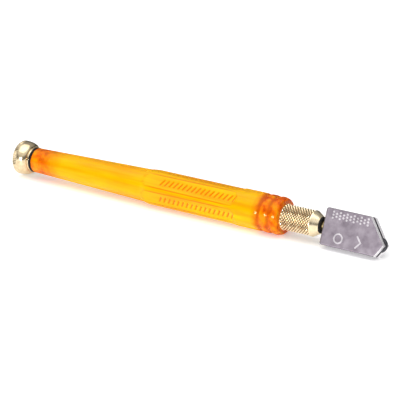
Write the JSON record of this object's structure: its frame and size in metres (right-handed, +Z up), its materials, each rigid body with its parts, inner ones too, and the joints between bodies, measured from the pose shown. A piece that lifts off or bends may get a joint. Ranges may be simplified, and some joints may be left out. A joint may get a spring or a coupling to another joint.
{
  "type": "glass cutter",
  "caption": "Pencil-grip oil-fed glass cutter with a hollow translucent handle, knurled collar, screw cap and a swivelling wheel head.",
  "frame": {"origin": "bottom centre of the bounding box, on the table under the middle of the tool's length", "axes": "+X along the tool's axis towards the cutting wheel, +Z up, -Y side shows the head's marked face"},
  "size_m": [0.1734, 0.0148, 0.0151],
  "materials": {
    "amber_plastic": "translucent glossy",
    "brass": "polished",
    "knurled_brass": "diamond knurled",
    "inner_brass": "turned",
    "black_rubber": "matte",
    "head_steel": "satin plated",
    "spring_steel": "drawn wire",
    "carbide": "ground",
    "cotton": "twisted"
  },
  "bodies": {
    "handle": {"handle_barrel": "amber_plastic", "knurled_collar": "knurled_brass", "collar_seal": "black_rubber", "shank_seal": "black_rubber", "valve_body": "inner_brass", "valve_seal": "black_rubber", "valve_spring": "spring_steel", "valve_cage": "inner_brass", "return_spring": "spring_steel"},
    "cap_washer": {"end_cap_seal": "black_rubber"},
    "cap": {"end_cap": "brass"},
    "valve_ball": {"valve_ball": "spring_steel"},
    "plunger": {"thrust_washer": "inner_brass"},
    "head": {"head_shank": "inner_brass", "shank_clip": "spring_steel", "wick": "cotton", "head_body": "head_steel", "wheel_axle": "spring_steel"},
    "wheel": {"cutting_wheel": "carbide"}
  },
  "joints": [
    {"name": "cap_slide", "type": "slide", "parent": "handle", "child": "cap_washer", "axis": [-1, 0, 0], "range_m": [0, 0.008]},
    {"name": "cap_turn", "type": "hinge", "parent": "cap_washer", "child": "cap", "pos_m": [0.0416, 0, 0.00753], "axis": [-1, 0, 0], "range_deg": [0, 2880]},
    {"name": "head_press", "type": "slide", "parent": "handle", "child": "plunger", "axis": [-1, 0, 0], "range_m": [0, 0.0008], "stiffness_N_per_m": 2500, "springref_m": -0.0012, "deforming": ["return_spring"]},
    {"name": "ball_lift", "type": "slide", "parent": "handle", "child": "valve_ball", "axis": [-1, 0, 0], "range_m": [0, 0.00081], "deforming": ["valve_spring"]},
    {"name": "head_swivel", "type": "hinge", "parent": "plunger", "child": "head", "pos_m": [0.0416, 0, 0.00753], "axis": [1, 0, 0], "continuous": true},
    {"name": "wheel_spin", "type": "hinge", "parent": "head", "child": "wheel", "pos_m": [0.0839, -0.00094, 0.00532], "axis": [0, -0.9205, 0.3907], "continuous": true}
  ],
  "couplings": [
    {"joint": "cap_turn", "follows": "cap_slide", "rad_per_m": 6283.2},
    {"joint": "ball_lift", "follows": "head_press", "ratio": 1}
  ]
}
